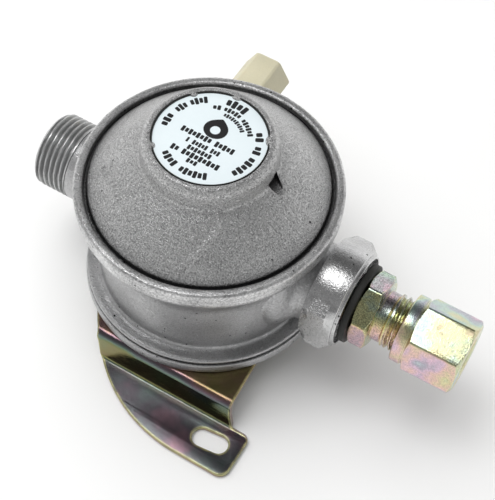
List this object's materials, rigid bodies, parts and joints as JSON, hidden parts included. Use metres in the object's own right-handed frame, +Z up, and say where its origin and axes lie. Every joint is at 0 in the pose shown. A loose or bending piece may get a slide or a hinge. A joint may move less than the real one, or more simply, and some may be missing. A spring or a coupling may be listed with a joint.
{
  "type": "caravan gas pressure regulator",
  "caption": "Two-stage low-pressure gas regulator: die-cast body with spring tower, threaded inlet, compression pipe outlet, capped test point and joggled wall bracket.",
  "frame": {"origin": "on the surface that the bracket's feet stand on, under the middle of the object's box", "axes": "+X along the gas flow from the threaded inlet to the outlet nut, +Y towards the test point, +Z up through the spring tower"},
  "size_m": [0.1186, 0.098, 0.0657],
  "materials": {
    "cast_cover": "die-cast zinc, coarse shot-blasted grain",
    "cast_body": "die-cast zinc, fine satin skin",
    "rating_label": null,
    "yellow_zinc": "iridescent yellow zinc passivation on pressed steel",
    "rainbow_zinc": "bright iridescent zinc passivation on turned steel",
    "steel": "bright zinc plated",
    "spring_steel": "drawn wire",
    "brass": "turned",
    "rubber": "matt moulded nitrile rubber",
    "beige_plastic": "moulded, slightly waxy",
    "black_plastic": "moulded acetal"
  },
  "bodies": {
    "housing": {"body_casting": "cast_body", "spring_cover": "cast_cover", "rating_plate": "rating_label", "bottom_cover": "cast_body", "mounting_bracket": "yellow_zinc", "bracket_screw_1": "steel", "bracket_screw_2": "steel", "bracket_screw_3": "steel", "bracket_screw_4": "steel", "inlet_filter": "steel", "outlet_seal": "rubber", "outlet_stub": "rainbow_zinc", "test_nipple": "brass", "large_diaphragm": "rubber", "main_spring": "spring_steel", "lever_pin": "steel", "valve_nozzle": "brass", "first_stage_diaphragm": "rubber", "first_stage_spring": "spring_steel", "first_stage_seat": "brass", "first_stage_plug": "brass", "poppet_spring": "spring_steel"},
    "olive": {"cutting_ring": "brass"},
    "nut": {"compression_nut": "rainbow_zinc"},
    "cap_washer": {"test_cap_seal": "rubber"},
    "cap": {"test_cap": "beige_plastic"},
    "spring_rest": {"spring_seat": "black_plastic"},
    "adjuster": {"adjusting_screw": "black_plastic"},
    "diaphragm_plates": {"upper_diaphragm_plate": "steel", "lower_diaphragm_plate": "steel", "diaphragm_hub": "brass", "relief_spring": "spring_steel"},
    "relief_valve": {"relief_stem": "brass", "relief_pad": "rubber", "relief_spring_cap": "steel", "relief_nut": "steel"},
    "lever": {"valve_lever": "steel"},
    "valve": {"valve_plunger": "brass", "valve_pad": "rubber"},
    "first_stage_plates": {"first_stage_upper_plate": "steel", "first_stage_lower_plate": "steel", "push_pin": "brass"},
    "first_stage_poppet": {"poppet": "brass", "poppet_pad": "rubber"}
  },
  "joints": [
    {"name": "ring_travel", "type": "slide", "parent": "housing", "child": "olive", "axis": [1, 0, 0], "range_m": [-0.0015, 0.006]},
    {"name": "nut_turn", "type": "hinge", "parent": "olive", "child": "nut", "pos_m": [0.05, -0.00308, 0.0295], "axis": [1, 0, 0], "range_deg": [-361, 1441]},
    {"name": "cap_travel", "type": "slide", "parent": "housing", "child": "cap_washer", "axis": [0, 1, 0], "range_m": [0, 0.005]},
    {"name": "cap_turn", "type": "hinge", "parent": "cap_washer", "child": "cap", "pos_m": [-0.02527, 0.043, 0.0295], "axis": [0, 1, 0], "range_deg": [0, 1801]},
    {"name": "adjuster_travel", "type": "slide", "parent": "housing", "child": "spring_rest", "axis": [0, 0, 1], "range_m": [0, 0.001]},
    {"name": "adjuster_turn", "type": "hinge", "parent": "spring_rest", "child": "adjuster", "pos_m": [-0.01227, -0.00308, 0.0615], "axis": [0, 0, 1], "range_deg": [0, 361]},
    {"name": "diaphragm_lift", "type": "slide", "parent": "housing", "child": "diaphragm_plates", "axis": [0, 0, 1], "range_m": [0, 0.003], "stiffness_N_per_m": 800, "springref_m": -0.004, "deforming": ["large_diaphragm", "main_spring"]},
    {"name": "relief_open", "type": "slide", "parent": "diaphragm_plates", "child": "relief_valve", "axis": [0, 0, -1], "range_m": [0, 0.001], "stiffness_N_per_m": 1500, "springref_m": -0.002, "deforming": ["relief_spring"]},
    {"name": "lever_turn", "type": "hinge", "parent": "housing", "child": "lever", "pos_m": [-0.01227, -0.01408, 0.0305], "axis": [1, 0, 0], "range_deg": [0, 15.7]},
    {"name": "valve_travel", "type": "slide", "parent": "housing", "child": "valve", "axis": [0, -1, 0], "range_m": [0, 0.00123]},
    {"name": "first_stage_drop", "type": "slide", "parent": "housing", "child": "first_stage_plates", "axis": [0, 0, -1], "range_m": [0, 0.0008], "stiffness_N_per_m": 9000, "springref_m": -0.002, "deforming": ["first_stage_diaphragm", "first_stage_spring"]},
    {"name": "poppet_drop", "type": "slide", "parent": "housing", "child": "first_stage_poppet", "axis": [0, 0, -1], "range_m": [0, 0.0008], "deforming": ["poppet_spring"]}
  ],
  "couplings": [
    {"joint": "nut_turn", "follows": "ring_travel", "rad_per_m": 4188.8},
    {"joint": "cap_turn", "follows": "cap_travel", "rad_per_m": 6283.2},
    {"joint": "adjuster_turn", "follows": "adjuster_travel", "rad_per_m": 6283.2},
    {"joint": "lever_turn", "follows": "diaphragm_lift", "rad_per_m": 90.909},
    {"joint": "valve_travel", "follows": "diaphragm_lift", "ratio": 0.40909},
    {"joint": "poppet_drop", "follows": "first_stage_drop", "ratio": 1}
  ]
}
